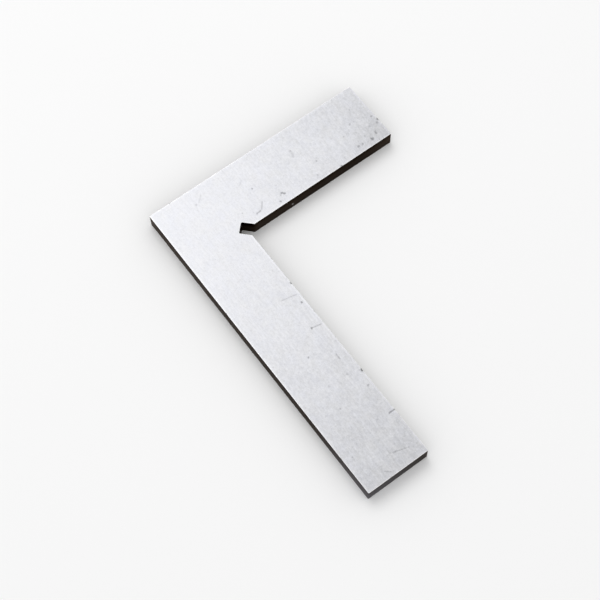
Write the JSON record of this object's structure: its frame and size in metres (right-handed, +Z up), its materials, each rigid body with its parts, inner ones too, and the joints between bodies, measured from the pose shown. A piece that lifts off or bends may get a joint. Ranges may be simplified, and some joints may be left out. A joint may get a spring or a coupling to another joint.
{
  "type": "steel square ruler",
  "caption": "Flat L-shaped steel square, ground on every face, with a diagonal relief slot in its inner corner, for checking and scribing right angles.",
  "frame": {"origin": "centre of the 100 x 70 mm rectangle that the two legs span, on the underside of the plate", "axes": "+X along the long leg, from the outer corner to the leg's end; +Y along the short leg, from the outer corner to the leg's end; +Z up through the plate's thickness. The outer corner is at (-0.050, -0.035, 0)"},
  "size_m": [0.1, 0.07, 0.005],
  "materials": {
    "ground_steel": "surface-ground to a fine, slightly cloudy satin on both faces, with faint lay lines, small scratches and specks; edges ground and dark; every arris lightly broken and bright"
  },
  "bodies": {
    "root": {"square_body": "ground_steel"}
  },
  "joints": []
}
